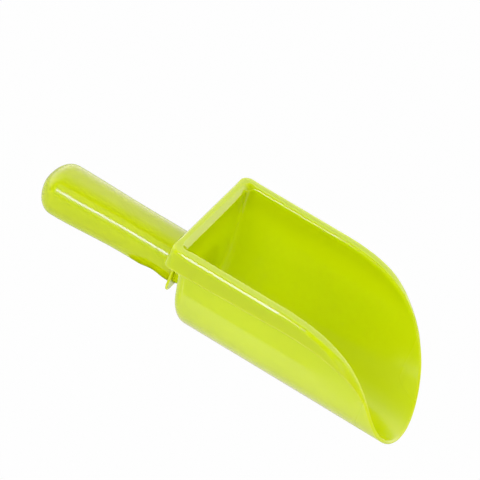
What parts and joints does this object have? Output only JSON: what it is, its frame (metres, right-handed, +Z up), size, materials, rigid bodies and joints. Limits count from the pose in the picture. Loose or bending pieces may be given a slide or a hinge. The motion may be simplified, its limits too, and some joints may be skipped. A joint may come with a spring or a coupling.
{
  "type": "sand scoop",
  "caption": "Round-bottomed sand scoop with a turned-down rim that fades into a digging lip, a guard plate and a straight round grip, for digging and pouring sand.",
  "frame": {"origin": "middle of the whole object's footprint, on the plane of the bowl's flat foot", "axes": "+X from the heel of the grip to the digging tip, +Y to the left seen from the heel, +Z up out of the bowl"},
  "size_m": [0.226, 0.086, 0.0612],
  "materials": {
    "scoop_plastic": "glossy moulded polypropylene, lime green",
    "handle_plastic": "glossy moulded polypropylene, lime green"
  },
  "bodies": {
    "root": {"bowl": "scoop_plastic", "rim": "scoop_plastic", "neck": "handle_plastic", "guard_plate": "handle_plastic", "grip": "handle_plastic"}
  },
  "joints": []
}
